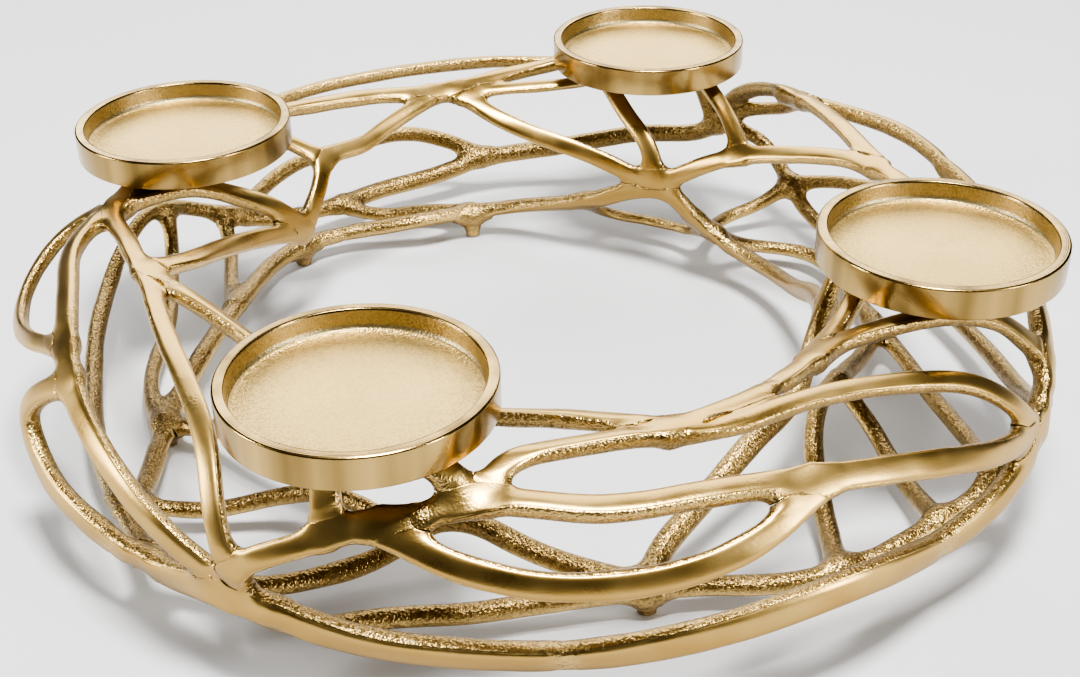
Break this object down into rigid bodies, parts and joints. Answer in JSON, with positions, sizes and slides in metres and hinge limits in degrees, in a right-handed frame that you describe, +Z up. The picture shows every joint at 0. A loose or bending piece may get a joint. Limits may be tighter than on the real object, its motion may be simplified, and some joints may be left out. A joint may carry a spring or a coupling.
{
  "type": "advent candle holder",
  "caption": "Ring-shaped advent candle holder: a hollow wreath of cast and welded golden twigs on short feet, carrying shallow round plates with raised rims for pillar candles.",
  "frame": {"origin": "centre of the ring on the table top that the feet stand on", "axes": "+Z up, -Y towards the front plate, +X towards the right plate, metres"},
  "size_m": [0.4117, 0.4105, 0.1],
  "materials": {
    "plate_gold": "turned and brushed, pale gold coating",
    "twig_gold": "sand cast, outer faces ground and polished, gold coating"
  },
  "bodies": {
    "root": {"front_plate": "plate_gold", "right_plate": "plate_gold", "back_plate": "plate_gold", "left_plate": "plate_gold", "left_plate_arm": "twig_gold", "front_left_rim": "twig_gold", "front_right_rim": "twig_gold", "right_rim": "twig_gold", "left_sweep": "twig_gold", "left_lower_loop": "twig_gold", "left_upper_loop": "twig_gold", "front_branch": "twig_gold", "front_leaf_top": "twig_gold", "front_leaf_bottom": "twig_gold", "front_right_crown": "twig_gold", "right_inner_arm": "twig_gold", "right_outer_arm": "twig_gold", "front_inner_crown": "twig_gold", "left_diagonal": "twig_gold", "left_arch": "twig_gold", "left_leaf": "twig_gold", "back_left_crown": "twig_gold", "back_left_fork": "twig_gold", "back_left_plate_arm": "twig_gold", "back_inner_crown": "twig_gold", "back_outer_crown": "twig_gold", "back_plate_arm": "twig_gold", "left_base": "twig_gold", "back_base": "twig_gold", "back_outer_base": "twig_gold", "back_outer_leaf": "twig_gold", "back_base_fork": "twig_gold", "left_outer_arch": "twig_gold", "left_outer_base": "twig_gold", "left_strut": "twig_gold", "back_left_strut": "twig_gold", "front_inner_stem": "twig_gold", "front_left_strut": "twig_gold", "front_base": "twig_gold", "front_inner_arch": "twig_gold", "front_left_base": "twig_gold", "right_inner_stem": "twig_gold", "right_base": "twig_gold", "right_third_strut": "twig_gold", "right_strut": "twig_gold", "right_second_strut": "twig_gold", "back_right_loop": "twig_gold", "right_outer_crown": "twig_gold", "right_fourth_strut": "twig_gold", "back_right_leaf": "twig_gold", "back_right_outer_strut": "twig_gold", "back_right_strut": "twig_gold", "back_base_loop": "twig_gold", "back_inner_stem": "twig_gold", "back_right_stem": "twig_gold", "back_outer_stem": "twig_gold", "front_stem": "twig_gold", "front_right_stem": "twig_gold", "right_stem": "twig_gold", "feet": "twig_gold"}
  },
  "joints": []
}
